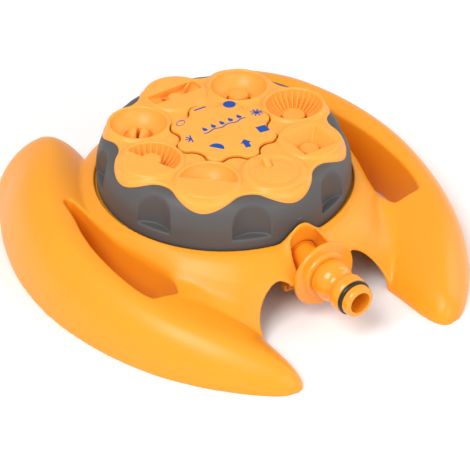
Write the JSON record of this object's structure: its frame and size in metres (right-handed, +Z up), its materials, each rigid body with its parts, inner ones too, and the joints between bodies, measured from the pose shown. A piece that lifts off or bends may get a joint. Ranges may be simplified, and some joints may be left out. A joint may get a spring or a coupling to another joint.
{
  "type": "dial lawn sprinkler",
  "caption": "Low winged lawn sprinkler with a rotary pattern dial of nozzle cups, a ribbed grip ring and a quick-connect hose inlet at the front.",
  "frame": {"origin": "on the ground, under the middle of the base's footprint", "axes": "+Z up along the dial's axis, -Y towards the hose, +X to the right seen from the hose side's back"},
  "size_m": [0.223, 0.231, 0.0661],
  "materials": {
    "yellow_plastic": "satin moulded polypropylene",
    "nozzle_plastic": "satin moulded acetal",
    "badge_plastic": "satin moulded plastic with blue pad-printed pattern marks",
    "inlet_plastic": "glossy moulded acetal",
    "inner_plastic": "plain moulded plastic",
    "grey_grip": "soft-touch matt overmould",
    "black_rubber": "moulded rubber",
    "white_plastic": "natural acetal",
    "steel": "stainless steel"
  },
  "bodies": {
    "base": {"base_shell": "yellow_plastic", "water_manifold": "yellow_plastic", "manifold_screws": "steel", "inlet_connector": "inlet_plastic", "inlet_o_ring": "black_rubber", "inlet_seal_ring": "black_rubber", "click_spring": "steel", "port_spring": "steel", "pivot_screw": "steel", "pivot_washer": "steel"},
    "dial": {"grip_ring": "grey_grip", "nozzle_plate": "nozzle_plastic", "dial_underplate": "inner_plastic", "underplate_screws": "steel", "pivot_bush": "white_plastic", "badge_plate": "badge_plastic", "strip_nozzle": "nozzle_plastic", "full_deflector": "nozzle_plastic", "fluted_deflector": "nozzle_plastic", "square_deflector": "nozzle_plastic", "jet_nozzle": "nozzle_plastic", "half_deflector": "nozzle_plastic", "half_fluted_deflector": "nozzle_plastic", "slit_nozzle": "nozzle_plastic"},
    "seal": {"seal_carrier": "white_plastic", "port_seal": "black_rubber"}
  },
  "joints": [
    {"name": "dial_spin", "type": "hinge", "parent": "base", "child": "dial", "pos_m": [0, 0.0125, 0.04], "axis": [0, 0, 1], "continuous": true, "deforming": ["click_spring"]},
    {"name": "seal_slide", "type": "slide", "parent": "base", "child": "seal", "axis": [0, 0, 1], "range_m": [-0.0008, 0], "stiffness_N_per_m": 800, "springref_m": 0.002, "deforming": ["port_spring"]}
  ]
}
